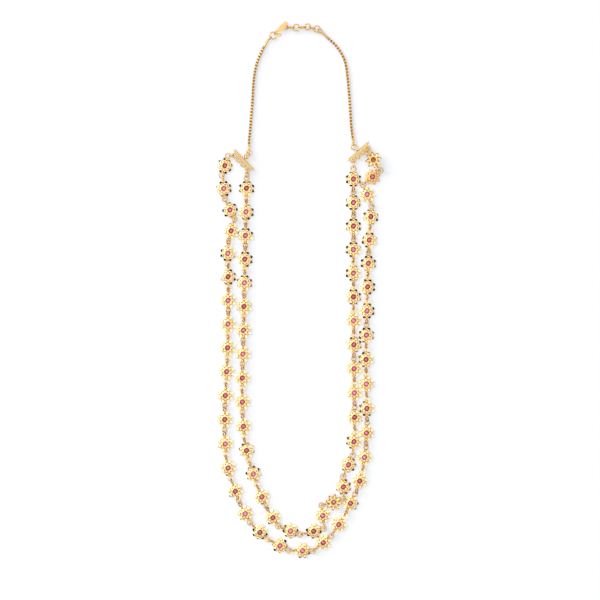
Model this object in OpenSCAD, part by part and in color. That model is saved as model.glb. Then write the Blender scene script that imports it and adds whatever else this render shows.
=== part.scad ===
// Two-strand flower necklace, laid flat: two strings of soldered flower links with round stones,
// a pierced bar at each end of the strings, two box chains, a hook and a short extension.
// Millimetres. The surface that it lies on is z = 0, the clasp is at the far end (+Y).

/* [Flower] */
// Width of a flower across opposite petal tips
flower_w = 9.8; // [9.6:0.1:9.9]
// Height of a petal's flat part above the flower's back
petal_t = 1.3; // [1.2:0.1:1.4]
// Height of a petal at its cut tip
tip_t = 0.6; // [0.5:0.1:0.8]
// Width across the inner rosette
rosette_w = 6.4; // [6.2:0.1:6.5]
// Height of the rosette at the cup
rosette_t = 1.85; // [1.7:0.05:1.9]
// Height of the stone's cup
cup_t = 2.1; // [2:0.05:2.2]
// Diameter of a stone at its girdle
stone_d = 3.0; // [2.8:0.1:3]

/* [Links] */
// Thickness of the round wire of rings and links
wire_d = 0.7; // [0.65:0.05:0.7]
// Clear hole of a flower's ring or loop
ring_hole = 2.3; // [2.3:0.05:2.35]
// Distance from a flower's middle to the middle of its flat ring
ring_out = 6.15; // [6.1:0.05:6.2]
// Distance from a flower's middle to the middle of its upright loop
loop_out = 6.45; // [6.4:0.05:6.5]

/* [End bars] */
// Length of an end bar from tip to tip
bar_l = 18; // [17.5:0.1:18.5]
// Thickness of an end bar
bar_t = 0.8; // [0.8:0.1:0.9]
// Distance between the holes of an end bar
hole_pitch = 3.75; // [3.7:0.05:3.8]

/* [Chains and clasp] */
// Width of the box chains
chain_w = 1.4; // [1.3:0.1:1.5]
// Outer diameter of the plain caps on the chain ends
cap_d = 1.45; // [1.4:0.05:1.5]
// Thickness of the flat hook
hook_t = 0.7; // [0.6:0.1:0.8]

/* [Hidden] */
$fn = 48;

petals = 8;
wire_r = wire_d / 2;
ring_r = ring_hole / 2 + wire_r;     // middle of the wire
link_h = ring_r + wire_r;            // height of a string's axis: an upright loop touches the surface
tip_r = flower_w / 2;
valley_r = 3.25;                     // where two petals part
shoulder_r = 4.05;                   // where a petal narrows to its point
shoulder_a = 12.5;
blunt_r = tip_r - 0.2;                // the point itself is blunt
blunt_a = 5;
lobe_r = 0.85;
cup_r = stone_d / 2 + 0.45;
seat_r = stone_d / 2 + 0.1;
seat_z = 1.2;                        // floor of the cup above the flower's back
back_r = 1.0;                        // open hole behind the stone
neck_r = 0.48;                       // solder neck between petals and ring
girdle_z = 1.72;
table_r = 0.58 * stone_d / 2;
crown_h = 0.5;
pavilion_h = 1.0;

// Knots of the strings, from the left bar down, across and up to the right bar: [flower, x, y]
outer_route = [
    [1, -44.8, 74.5], [2, -45.4, 60.8], [3, -41.7, 48], [4, -41, 35.5], [5, -43, 22], [6, -42.8, 8],
    [9, -43.1, -34.5], [12, -44.8, -77.5], [14, -42.8, -106.5], [16, -32.6, -133.8], [17, -23.8, -145],
    [18, -11.8, -153], [19, 1.7, -156], [20, 14.1, -151.2], [21, 23.4, -140.3], [23, 35.9, -114.2],
    [25, 40, -85.5], [28, 39.7, -41.5], [31, 40.7, 2], [33, 41.7, 30], [34, 42.6, 44], [35, 40.4, 57.3],
    [36, 43.6, 67.9], [37, 44, 77.9]];
inner_route = [
    [1, -31.8, 61], [4, -32.8, 18.5], [7, -33.6, -24], [10, -34.3, -67], [12, -31.8, -96],
    [14, -22.6, -123.7], [15, -16, -136.2], [16, -5.5, -144.2], [17, 8.4, -144.3], [18, 13.8, -135],
    [19, 20.4, -126.8], [20, 26.2, -117.8], [21, 29.2, -104.5], [22, 32.5, -90.7], [24, 32.7, -61.5],
    [28, 32.2, -4], [33, 32.2, 66.5]];
// Flowers turned off the line of their string, or lying on their face: [flower, heading, roll, lift]
outer_pose = [
    [1, -108, 0, 0], [2, -85, 0, 0], [3, -63, 0, 0], [4, -105, 0, 0],
    [16, -62, 0, 0], [18, -28, 0, 0], [19, -1, 0, 0], [20, 39, 0, 0],
    [34, 86, 0, 0], [35, 114, 0, 0], [36, 38, 0, 0], [37, 123, 180, 0.45]];
inner_pose = [
    [15, -57, 0, 0], [16, -20, 0, 0], [17, 14, 0, 0], [18, 97, 0, 0], [19, 15, 180, 0], [20, 92, 0, 0],
    [21, 65, 0, 0]];
outer_count = 37;
outer_half = 19;                     // last flower of the left half
inner_count = 33;
inner_half = 16;

// Middle of each end bar and its angle
left_bar_at = [-33.6, 78, 1.85];
left_bar_a = -46;
right_bar_at = [35.1, 82.9, 1.5];
right_bar_a = 41;
rail_w = 1.3;
lobe_y = -2;
bar_hole_r = 0.9;
bar_lobe_r = 1.75;
bar_loop_r = 1.15;

// Middle lines of the box chains, from the clasp down to the bars: [x, y, z]
left_chain_route = [
    [-21.6, 145.5, 0.9], [-25, 138, 0.72], [-26.9, 130.5, 0.72], [-27.8, 122, 0.72], [-28.3, 114, 0.72],
    [-29.1, 104, 0.72], [-29.8, 95, 0.72], [-30.2, 90.4, 0.85], [-30.35, 86.6, 1.15]];
right_chain_route = [
    [17.1, 150.8, 1.2], [21, 147.3, 0.85], [25, 141.9, 0.72], [27.5, 136, 0.72], [28.8, 127.5, 0.72],
    [29.5, 119, 0.72], [30.3, 108.5, 0.72], [30.9, 99, 0.72], [31.5, 94, 0.85], [32, 90.2, 1.2]];
tube_sides = 8;
chain_gap = 0.15;
fine_wire = 0.6;                     // wire of the links at the bars and of the caps' own loops

// Rings that hang on the chain ends and run along the clasp: [x, y, z, radius to the wire's middle]
left_end_ring = [-30.3, 81.95, 1.85, 1.5];
right_end_ring = [32.55, 85.7, 1.5, 1.6];
clasp_ring_at = [-15.9, 152.6, 1.12, 2.1];
extension_rings = [[-2, 157.2, 1.9, 1.95], [4.8, 157.6, 1.9, 1.8], [10.4, 156.3, 1.9, 1.9]];
hook_eye = [-7.95, 157.6];           // hole in the hook's wide end
hook_eye_r = 0.85;
hook_z = 2;                          // middle of the plate
hook_wire = 0.66;                    // thickness of the bent end
// Outline of the hook's plate, from its eye: [x, y]
hook_outline = [
    [-6.3, -2.2], [-5.05, -1.1], [-3.95, 0.5], [-2.45, 1.85], [-1.1, 3.1], [0.1, 3.3], [0.9, 2.2], [1.1, 1],
    [1.5, 0.35], [1.3, -0.8], [0.3, -1.55], [-0.85, -1.65], [-2.6, -2.1], [-3.95, -2.6], [-4.7, -3.1],
    [-5.75, -3.35], [-6.4, -3]];
// Bent end, from the eye: over the clasp ring's wire, down inside it and back under it: [x, y, z, width]
hook_bend = [
    [-5.2, -2.35, 2, 0.66], [-6.2, -2.65, 2, 0.66], [-6.9, -3.2, 2, 0.66], [-7.3, -3.65, 1.6, 0.66],
    [-7.35, -3.95, 1, 0.66], [-7.1, -4.25, 0.5, 0.7], [-6.5, -4.4, 0.35, 1.2], [-5.8, -4.45, 0.35, 1.8],
    [-4.6, -4.45, 0.35, 1.9], [-3.7, -4.4, 0.35, 1.5], [-3.2, -4.35, 0.35, 0.8]];
link_w = 3.0;                        // height of an upright link between wire middles

function tangent_at(t, k) =
    let (a = t[max(k - 1, 0)], b = t[min(k + 1, len(t) - 1)])
    [b[1] - a[1], b[2] - a[2]] / (b[0] - a[0]);
function span_of(t, n) = max([for (i = [0 : len(t) - 2]) if (t[i][0] <= n) i]);
// Smooth curve through the knots, read at a flower's number
function spot(t, n) =
    let (k = span_of(t, n), w = t[k + 1][0] - t[k][0], u = (n - t[k][0]) / w,
        a = [t[k][1], t[k][2]], b = [t[k + 1][1], t[k + 1][2]])
    (2 * pow(u, 3) - 3 * u * u + 1) * a + (pow(u, 3) - 2 * u * u + u) * w * tangent_at(t, k)
        + (3 * u * u - 2 * pow(u, 3)) * b + (pow(u, 3) - u * u) * w * tangent_at(t, k + 1);
function heading(t, n, last) =
    let (d = spot(t, min(n + 1, last)) - spot(t, max(n - 1, 1))) atan2(d[1], d[0]);
function pose(route, poses, n, last) = let (found = [for (r = poses) if (r[0] == n) r])
    len(found) > 0 ? found[0] : [n, heading(route, n, last), 0, 0];

// Puts a flower or a stone at its place in a string, x along the string
module in_string(route, poses, n, last) {
    at = spot(route, n);
    lie = pose(route, poses, n, last);
    translate([at[0], at[1], link_h + lie[3]]) rotate([lie[2], 0, lie[1]]) children();
}

function polar(r, a) = [r * cos(a), r * sin(a)];

// Outline of eight pointed petals, a pair of them either side of each link
function star() = [for (k = [0 : petals - 1]) let (a = 360 / petals * (k + 0.5))
    each [polar(valley_r, a - 180 / petals), polar(shoulder_r, a - shoulder_a), polar(blunt_r, a - blunt_a),
        polar(tip_r, a), polar(blunt_r, a + blunt_a), polar(shoulder_r, a + shoulder_a)]];

// Flat-sided cone of eight facets, one over each petal: bottom and top are distances to a facet
module facets(z, h, bottom, top, turn) {
    translate([0, 0, z]) intersection_for (k = [0 : petals / 2 - 1])
        rotate([90, 0, turn + 360 / petals * k]) translate([0, 0, -2 * bottom])
            linear_extrude(4 * bottom) polygon([[-bottom, 0], [bottom, 0], [top, h], [-top, h]]);
}

module petal_star() {
    slope = (petal_t - tip_t) / (tip_r - valley_r);
    foot_r = tip_r + tip_t / slope;
    intersection() {
        translate([0, 0, -link_h]) linear_extrude(petal_t) polygon(star());
        facets(-link_h, petal_t + 0.1, foot_r, foot_r - (petal_t + 0.1) / slope, 180 / petals);
    }
}

module rosette() {
    mid = rosette_w / 2 - lobe_r;
    intersection() {
        translate([0, 0, -link_h + 0.2]) for (k = [0 : petals - 1])
            rotate(360 / petals * k) translate([mid, 0]) cylinder(h = rosette_t, r = lobe_r);
        facets(-link_h + 0.1, rosette_t - 0.1, rosette_w * 0.8, cup_r, 0);
    }
}

// A round ring lying flat round the origin
module ring(r, w = wire_d) { rotate_extrude() translate([r, 0]) circle(d = w, $fn = 24); }

module flat_ring(side) { translate([side, 0, 0]) ring(ring_r); }
module upright_loop(side) { translate([side, 0, 0]) rotate([90, 0, 0]) ring(ring_r); }
module solder_neck(side) {
    translate([sign(side) * 2.4, 0, -0.28]) rotate([0, 90 * sign(side), 0])
        cylinder(h = abs(side) - 2.4 - ring_r, r = neck_r);
}

module flower(first = false) {
    color("gold") difference() {
        union() {
            petal_star();
            rosette();
            translate([0, 0, -link_h + 0.1]) cylinder(h = cup_t - 0.1, r = cup_r);
            flat_ring(ring_out);
            solder_neck(ring_out);
            solder_neck(first ? -ring_out : -loop_out);
            if (first) flat_ring(-ring_out);
            else upright_loop(-loop_out);
        }
        translate([0, 0, -link_h + seat_z]) cylinder(h = cup_t, r = seat_r);
        translate([0, 0, -link_h - 1]) cylinder(h = seat_z + 1.5, r = back_r);
    }
}

// Round cut stone: octagonal table, sixteen-sided girdle, pointed back
module stone() {
    g = 16;
    z = -link_h + girdle_z;
    rim = [for (i = [0 : g - 1]) polar(stone_d / 2, 360 / g * i)];
    tab = [for (i = [0 : petals - 1]) polar(table_r, 360 / petals * i)];
    pts = concat([for (p = rim) [p[0], p[1], z - 0.05]], [for (p = rim) [p[0], p[1], z + 0.05]],
        [for (p = tab) [p[0], p[1], z + crown_h]], [[0, 0, z - pavilion_h]]);
    tip = 2 * g + petals;
    band = [for (i = [0 : g - 1]) let (j = (i + 1) % g) [i, g + i, g + j, j]];
    crown = [for (k = [0 : petals - 1]) let (i = 2 * k, j = (i + 2) % g, t = 2 * g + k,
        u = 2 * g + (k + 1) % petals)
        each [[g + i, t, g + i + 1], [g + i + 1, t, u], [g + i + 1, u, g + j]]];
    back = [for (i = [0 : g - 1]) [i, (i + 1) % g, tip]];
    color("crimson") polyhedron(pts,
        concat(band, crown, back, [[for (k = [petals - 1 : -1 : 0]) 2 * g + k]]), convexity = 2);
}

module flowers(route, poses, from, to, last) {
    for (n = [from : to]) in_string(route, poses, n, last) flower(n == 1);
}
module stones(route, poses, from, to, last) {
    for (n = [from : to]) in_string(route, poses, n, last) stone();
}
module outer_flowers_left() { flowers(outer_route, outer_pose, 1, outer_half, outer_count); }
module outer_flowers_right() { flowers(outer_route, outer_pose, outer_half + 1, outer_count, outer_count); }
module inner_flowers_left() { flowers(inner_route, inner_pose, 1, inner_half, inner_count); }
module inner_flowers_right() { flowers(inner_route, inner_pose, inner_half + 1, inner_count, inner_count); }
module outer_stones_left() { stones(outer_route, outer_pose, 1, outer_half, outer_count); }
module outer_stones_right() { stones(outer_route, outer_pose, outer_half + 1, outer_count, outer_count); }
module inner_stones_left() { stones(inner_route, inner_pose, 1, inner_half, inner_count); }
module inner_stones_right() { stones(inner_route, inner_pose, inner_half + 1, inner_count, inner_count); }

// Long round-ended link of wire. from and to are the middles of the wire at its two ends, w is its
// width between wire middles, and roll 0 stands it upright. The straight sides are a hair thinner
// than the bends and reach a little into them
side_share = 0.97;
side_lap = 0.08;
module link(from, to, w = link_w, roll = 0, wire = wire_d) {
    d = to - from;
    flat = norm([d[0], d[1]]);
    run = norm(d) - w;
    translate((from + to) / 2) rotate([0, -atan2(d[2], flat), atan2(d[1], d[0])]) rotate([90 + roll, 0, 0])
        if (run < 0.05) ring(norm(d) / 2, wire);
        else union() {
            for (s = [-1, 1]) translate([s * run / 2, 0, 0]) rotate(s * 90)
                rotate(180) rotate_extrude(angle = 180) translate([w / 2, 0]) circle(d = wire, $fn = 24);
            for (s = [-1, 1]) translate([-run / 2 - side_lap, s * w / 2, 0]) rotate([0, 90, 0])
                cylinder(h = run + 2 * side_lap, d = side_share * wire, $fn = 24);
        }
}

// Pierced bar: a pointed rail, four holed lobes below it and a soldered loop above its middle
module end_bar(at, angle) {
    color("goldenrod") translate(at) rotate(angle) {
        translate([0, 0, -bar_t / 2]) linear_extrude(bar_t) difference() {
            union() {
                polygon([[-bar_l / 2, rail_w * 0.3], [-bar_l / 2 + 2, -rail_w / 2],
                    [bar_l / 2 - 2, -rail_w / 2], [bar_l / 2, rail_w * 0.3],
                    [bar_l / 2 - 1.6, rail_w / 2], [-bar_l / 2 + 1.6, rail_w / 2]]);
                for (k = [-1.5 : 1 : 1.5]) translate([k * hole_pitch, lobe_y]) circle(r = bar_lobe_r);
            }
            for (k = [-1.5 : 1 : 1.5]) translate([k * hole_pitch, lobe_y]) circle(r = bar_hole_r);
        }
        translate([0, rail_w / 2 + bar_loop_r, 0]) rotate([0, 90, 0]) ring(bar_loop_r);
    }
}
module left_bar() { end_bar(left_bar_at, left_bar_a); }
module right_bar() { end_bar(right_bar_at, right_bar_a); }
// Middle of a bar's end hole, side -1 or 1 along the bar
function bar_hole(at, angle, side) = let (x = side * 1.5 * hole_pitch)
    at + [x * cos(angle) - lobe_y * sin(angle), x * sin(angle) + lobe_y * cos(angle), 0];

function unit(v) = v / norm(v);
function level(p, z) = [p[0], p[1], z];
// Middle of a flower's ring on side out of its middle, along its own heading
function ring_spot(route, poses, n, last, out) =
    level(spot(route, n) + polar(out, pose(route, poses, n, last)[1]), link_h);
outer_first_ring = ring_spot(outer_route, outer_pose, 1, outer_count, -ring_out);
inner_first_ring = ring_spot(inner_route, inner_pose, 1, inner_count, -ring_out);
outer_last_ring = ring_spot(outer_route, outer_pose, outer_count, outer_count, ring_out);
inner_last_ring = ring_spot(inner_route, inner_pose, inner_count, inner_count, ring_out);
in_hole = 0.35;                      // how far a taut link's wire lies from the middle of a bar's hole
in_ring = 0.6;                       // and from the middle of a flower's ring
// Ends of a taut link from a bar's hole to a flower's ring
function taut(hole, to) = let (u = unit(to - hole)) [hole + in_hole * u, to - in_ring * u];
left_outer_ends = taut(bar_hole(left_bar_at, left_bar_a, -1), outer_first_ring);
left_inner_ends = taut(bar_hole(left_bar_at, left_bar_a, 1), inner_first_ring);
right_inner_ends = taut(bar_hole(right_bar_at, right_bar_a, -1), inner_last_ring);

module fine_link(from, to, w, roll = 0) { color("goldenrod") link(from, to, w, roll, fine_wire); }
module left_outer_link() { fine_link(left_outer_ends[0], left_outer_ends[1], 2.6); }
module right_inner_link() { fine_link(right_inner_ends[0], right_inner_ends[1], 2.3); }
// The last flower's ring lies on the right bar's end, and its link goes round both
module right_outer_link() {
    hole = level(bar_hole(right_bar_at, right_bar_a, 1), link_h);
    u = unit(level(outer_last_ring, link_h) - hole);
    fine_link(hole - 0.4 * u, hole + 2.6 * u, 2.7);
}
// The inner string hangs from the left bar by an upright link and a leaning ring
inner_joint = 0.5;                   // where they cross, as a share of the way
joint_gap = 0.42;                    // from the crossing to the middle of either wire
inner_joint_at = left_inner_ends[0] + (left_inner_ends[1] - left_inner_ends[0]) * inner_joint;
inner_joint_u = unit(left_inner_ends[1] - left_inner_ends[0]);
module left_inner_link() {
    fine_link(left_inner_ends[0], inner_joint_at + joint_gap * inner_joint_u, 2.4);
}
module left_inner_ring() {
    fine_link(inner_joint_at - joint_gap * inner_joint_u, left_inner_ends[1] + 0.15 * inner_joint_u, 2.6, 52);
}

// Inside a bar's soldered loop, near the rail
function bar_loop(at, angle) = at + level(polar(rail_w / 2 + bar_loop_r - 0.35, angle + 90), 0);
module left_chain_link() {
    fine_link(bar_loop(left_bar_at, left_bar_a), xyz(left_end_ring) + [-0.1, 0.2, 0], 3.1, 51);
}
function xyz(r) = [r[0], r[1], r[2]];
module lying_ring(r, wire = wire_d) { color("goldenrod") translate(xyz(r)) ring(r[3], wire); }
module right_chain_ring() { lying_ring(right_end_ring); }
module clasp_ring() { lying_ring(clasp_ring_at); }
module extension_ring_1() { lying_ring(extension_rings[0]); }
module extension_ring_2() { lying_ring(extension_rings[1]); }
module extension_ring_3() { lying_ring(extension_rings[2]); }

// Plain cap that closes a chain's end, with its own loop of wire. from is the chain's end
module cap(from, to, reach, w = 2.2, roll = 0) {
    u = unit(to - from);
    l = norm(to - from);
    color("goldenrod") {
        translate(from) rotate([0, acos(u[2]), atan2(u[1], u[0])]) rotate_extrude()
            polygon([[0, chain_gap], [cap_d / 2, chain_gap], [cap_d / 2, 0.6], [cap_d / 2 - 0.1, 0.75],
                [cap_d / 2 - 0.1, l - 0.5], [cap_d / 2 - 0.3, l], [0, l]]);
        link(to, reach, w, roll, fine_wire);
    }
}
// Point inside a lying ring r, near its side towards p
function inside(r, p, slack = 0.1) =
    xyz(r) + (r[3] - wire_d - slack) * unit([p[0] - r[0], p[1] - r[1], 0]);

left_end_to = [left_end_ring[0], left_end_ring[1] + left_end_ring[3] + 0.1, left_end_ring[2] - 0.25];
right_end_to = [32.2, 88.3, 1.5];
left_clasp_to = [-18.8, 150, 1.12];
right_clasp_to = [13.2, 154.6, 1.65];
module left_chain_end_cap() {
    cap(left_chain_route[len(left_chain_route) - 1], left_end_to,
        xyz(left_end_ring) - [0, left_end_ring[3], 0], 2 * left_end_ring[3], 90);
}
module right_chain_end_cap() {
    cap(right_chain_route[len(right_chain_route) - 1], right_end_to, inside(right_end_ring, right_end_to));
}
module left_clasp_cap() {
    cap(left_chain_route[0], left_clasp_to, inside(clasp_ring_at, left_clasp_to), 1.6);
}
module right_clasp_cap() {
    cap(right_chain_route[0], right_clasp_to, inside(extension_rings[2], right_clasp_to, 0.35), 2.4, 45);
}

// Extension: upright links between the hook's eye and the lying rings
module extension_link(from, to) { color("goldenrod") link(from, to); }
module extension_link_1() {
    eye = level(hook_eye, hook_z);
    extension_link(eye + [0.28, -0.2, 0], inside(extension_rings[0], eye));
}
// Point inside extension ring i, on its side towards ring j
function in_extension(i, j) = inside(extension_rings[i], extension_rings[j]);
module extension_link_2() { extension_link(in_extension(0, 1), in_extension(1, 0)); }
module extension_link_3() { extension_link(in_extension(1, 2), in_extension(2, 1)); }

// Corners of a tube's section at p, across the direction d: w wide towards side, and h high
function section(p, d, side, w, h) =
    let (s = unit(side - (side * d) * d), up = cross(s, d), f = 0.5 / cos(180 / tube_sides))
    [for (k = [0 : tube_sides - 1]) let (a = 360 / tube_sides * (k + 0.5))
        p + f * (w * cos(a) * s + h * sin(a) * up)];
function along(line, i) = unit(line[min(i + 1, len(line) - 1)] - line[max(i - 1, 0)]);

// Tube of flat sides through sections, closed at both ends
module tube(sections) {
    n = len(sections);
    walls = [for (i = [0 : n - 2]) for (k = [0 : tube_sides - 1])
        let (j = (k + 1) % tube_sides, a = i * tube_sides, b = a + tube_sides) [a + k, a + j, b + j, b + k]];
    polyhedron([for (s = sections) each s], concat(walls, [[for (k = [tube_sides - 1 : -1 : 0]) k]],
        [[for (k = [0 : tube_sides - 1]) (n - 1) * tube_sides + k]]), convexity = 4);
}

// Flat hook: a tapered plate with an eye, its narrow end bent down through the clasp ring and back under it
module hook() {
    eye = level(hook_eye, 0);
    path = [for (p = hook_bend) eye + xyz(p)];
    color("gold") {
        translate(eye + [0, 0, hook_z - hook_t / 2]) linear_extrude(hook_t) difference() {
            polygon(hook_outline);
            circle(r = hook_eye_r);
        }
        tube([for (i = [0 : len(path) - 1])
            section(path[i], along(path, i), [0, 1, 0], hook_bend[i][3], hook_wire)]);
    }
}

// Points of a smooth line through a route, two steps to a stretch
function route_at(t, k, u) =
    let (n = len(t), a = t[k], b = t[k + 1], da = (b - t[max(k - 1, 0)]) / (k == 0 ? 1 : 2),
        db = (t[min(k + 2, n - 1)] - a) / (k + 2 > n - 1 ? 1 : 2))
    (2 * pow(u, 3) - 3 * u * u + 1) * a + (pow(u, 3) - 2 * u * u + u) * da
        + (3 * u * u - 2 * pow(u, 3)) * b + (pow(u, 3) - u * u) * db;
function smooth(t) = concat([for (k = [0 : len(t) - 2]) each [route_at(t, k, 0), route_at(t, k, 0.5)]],
    [t[len(t) - 1]]);

module chain(route) {
    line = smooth(route);
    color("goldenrod") tube([for (i = [0 : len(line) - 1]) let (d = along(line, i))
        section(line[i], d, cross(d, [0, 0, 1]), chain_w, chain_w)]);
}
module left_chain() { chain(left_chain_route); }
module right_chain() { chain(right_chain_route); }

outer_flowers_left();
outer_flowers_right();
inner_flowers_left();
inner_flowers_right();
outer_stones_left();
outer_stones_right();
inner_stones_left();
inner_stones_right();
left_bar();
right_bar();
left_outer_link();
left_inner_link();
left_inner_ring();
right_outer_link();
right_inner_link();
left_chain_link();
right_chain_ring();
left_chain_end_cap();
right_chain_end_cap();
left_chain();
right_chain();
left_clasp_cap();
right_clasp_cap();
clasp_ring();
hook();
extension_link_1();
extension_ring_1();
extension_link_2();
extension_ring_2();
extension_link_3();
extension_ring_3();
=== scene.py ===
"""Looks of the layered flower necklace, laid flat. Tables and shapes are in millimetres."""
import math

import bpy
import numpy as np
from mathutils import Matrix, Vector


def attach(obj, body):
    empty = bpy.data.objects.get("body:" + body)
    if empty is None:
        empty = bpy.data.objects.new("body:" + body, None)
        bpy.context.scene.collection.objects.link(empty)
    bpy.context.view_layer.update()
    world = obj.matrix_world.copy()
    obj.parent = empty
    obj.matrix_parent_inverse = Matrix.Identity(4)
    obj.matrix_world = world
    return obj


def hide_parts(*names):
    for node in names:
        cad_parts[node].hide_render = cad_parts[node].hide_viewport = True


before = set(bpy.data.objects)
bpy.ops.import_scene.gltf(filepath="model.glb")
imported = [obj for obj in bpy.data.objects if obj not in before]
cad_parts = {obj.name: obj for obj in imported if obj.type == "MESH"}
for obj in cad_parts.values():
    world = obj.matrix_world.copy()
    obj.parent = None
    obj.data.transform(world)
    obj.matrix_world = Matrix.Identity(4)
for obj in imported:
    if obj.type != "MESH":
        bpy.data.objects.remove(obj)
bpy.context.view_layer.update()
MM = 0.001

# Middle lines of the two strings: knots [flower, x, y]
OUTER_ROUTE = np.array([
    [1, -44.8, 74.5], [2, -45.4, 60.8], [3, -41.7, 48], [4, -41, 35.5], [5, -43, 22], [6, -42.8, 8],
    [9, -43.1, -34.5], [12, -44.8, -77.5], [14, -42.8, -106.5], [16, -32.6, -133.8], [17, -23.8, -145],
    [18, -11.8, -153], [19, 1.7, -156], [20, 14.1, -151.2], [21, 23.4, -140.3], [23, 35.9, -114.2],
    [25, 40, -85.5], [28, 39.7, -41.5], [31, 40.7, 2], [33, 41.7, 30], [34, 42.6, 44], [35, 40.4, 57.3],
    [36, 43.6, 67.9], [37, 44, 77.9]], float)
INNER_ROUTE = np.array([
    [1, -31.8, 61], [4, -32.8, 18.5], [7, -33.6, -24], [10, -34.3, -67], [12, -31.8, -96],
    [14, -22.6, -123.7], [15, -16, -136.2], [16, -5.5, -144.2], [17, 8.4, -144.3], [18, 13.8, -135],
    [19, 20.4, -126.8], [20, 26.2, -117.8], [21, 29.2, -104.5], [22, 32.5, -90.7], [24, 32.7, -61.5],
    [28, 32.2, -4], [33, 32.2, 66.5]], float)

# Flowers that turn off the line of their string: {flower: (heading and roll in degrees, lift)}
OUTER_POSE = {
    1: (-108, 0, 0), 2: (-85, 0, 0), 3: (-63, 0, 0), 4: (-105, 0, 0), 16: (-62, 0, 0), 18: (-28, 0, 0),
    19: (-1, 0, 0), 20: (39, 0, 0), 34: (86, 0, 0), 35: (114, 0, 0), 36: (38, 0, 0), 37: (123, 180, 0.45)}
INNER_POSE = {
    15: (-57, 0, 0), 16: (-20, 0, 0), 17: (14, 0, 0), 18: (97, 0, 0), 19: (15, 180, 0), 20: (92, 0, 0),
    21: (65, 0, 0)}

# Joints from flower to flower
AXIS_H = 1.85                        # height of a flower's wire axis above its back
RING_OUT, LOOP_OUT = 6.15, 6.45      # from a flower's middle to those of its ring and of its loop
RING_R, WIRE_R = 1.5, 0.35           # middle line and wire of rings and loops
SQUARED = 0.8                        # power that squares the wire's section a little; 1 leaves it round
WIRE_STEPS = 36, 10                  # points round a ring, and round its wire
STRAIGHT = math.radians(15)          # where its string turns by more, a ring stays level
LEAN_RANGE = 14, 34                  # least and most that a ring and the loop in it lean, in degrees

# Middle lines of the box chains, from the clasp down to the bars: [x, y, z]
LEFT_CHAIN = np.array([
    [-21.6, 145.5, 0.9], [-25, 138, 0.72], [-26.9, 130.5, 0.72], [-27.8, 122, 0.72], [-28.3, 114, 0.72],
    [-29.1, 104, 0.72], [-29.8, 95, 0.72], [-30.2, 90.4, 0.85], [-30.35, 86.6, 1.15]])
RIGHT_CHAIN = np.array([
    [17.1, 150.8, 1.2], [21, 147.3, 0.85], [25, 141.9, 0.72], [27.5, 136, 0.72], [28.8, 127.5, 0.72],
    [29.5, 119, 0.72], [30.3, 108.5, 0.72], [30.9, 99, 0.72], [31.5, 94, 0.85], [32, 90.2, 1.2]])


# Curves, turns and places
def hermite(a, b, slope_a, slope_b, u):
    """Cubic through a and b with the slopes given at its ends:
    (2u^3 - 3u^2 + 1) a + (u^3 - 2u^2 + u) slope_a + (3u^2 - 2u^3) b + (u^3 - u^2) slope_b."""
    u = u[:, None]
    return ((2 * u ** 3 - 3 * u ** 2 + 1) * a + (u ** 3 - 2 * u ** 2 + u) * slope_a
            + (3 * u ** 2 - 2 * u ** 3) * b + (u ** 3 - u ** 2) * slope_b)


def smooth_line(knots, steps):
    """Smooth curve through the knots: a cubic from each to the next in so many steps, whose slope at a knot
    is half the way between the knots beside it."""
    last = len(knots) - 1
    slope = np.gradient(knots, axis=0)
    t = np.arange(steps * last + 1) / steps
    k = np.minimum(t.astype(int), last - 1)
    return hermite(knots[k], knots[k + 1], slope[k], slope[k + 1], t - k)


def distances(line):
    """How far along the line each of its points lies."""
    return np.concatenate([[0], np.cumsum(np.linalg.norm(np.diff(line, axis=0), axis=1))])


def read_line(line, run, at):
    """The line's points at the distances at, where run is the distance of each of its own."""
    return np.column_stack([np.interp(at, run, values) for values in line.T])


def unit(vectors):
    """The same directions at length 1."""
    return vectors / np.linalg.norm(vectors, axis=1)[:, None]


def circle(count):
    """Angles of count points evenly round a circle."""
    return np.linspace(0, 2 * np.pi, count, endpoint=False)


def round_z(radius, angle, height):
    """Points (radius cos angle, radius sin angle, height)."""
    return np.stack(np.broadcast_arrays(radius * np.cos(angle), radius * np.sin(angle), height), -1)


def turn_z(a):
    """Turns by the angles a about z, as (..., 3, 3) matrices."""
    c, s = np.cos(a), np.sin(a)
    zero, one = np.zeros_like(c), np.ones_like(c)
    return np.stack([c, -s, zero, s, c, zero, zero, zero, one], -1).reshape(*np.shape(a), 3, 3)


def turn_x(a):
    """Turns by the angles a about x, as (..., 3, 3) matrices."""
    c, s = np.cos(a), np.sin(a)
    zero, one = np.zeros_like(c), np.ones_like(c)
    return np.stack([one, zero, zero, zero, c, -s, zero, s, c], -1).reshape(*np.shape(a), 3, 3)


def neighbours(count):
    """Numbers of the points after and before each of count points; an end has itself beside it."""
    k = np.arange(count)
    return np.minimum(k + 1, count - 1), np.maximum(k - 1, 0)


def spots(route):
    """Middle of every flower from 1 to the last: a smooth curve through the knots, read at whole numbers."""
    n, p = route[:, 0], route[:, 1:]
    ahead, back = neighbours(len(n))
    slope = (p[ahead] - p[back]) / (n[ahead] - n[back])[:, None]
    number = np.arange(1, n[-1] + 1)
    k = np.clip(np.searchsorted(n, number, side="right") - 1, 0, len(n) - 2)
    gap = (n[k + 1] - n[k])[:, None]
    return hermite(p[k], p[k + 1], slope[k] * gap, slope[k + 1] * gap, (number - n[k]) / gap[:, 0])


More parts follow.
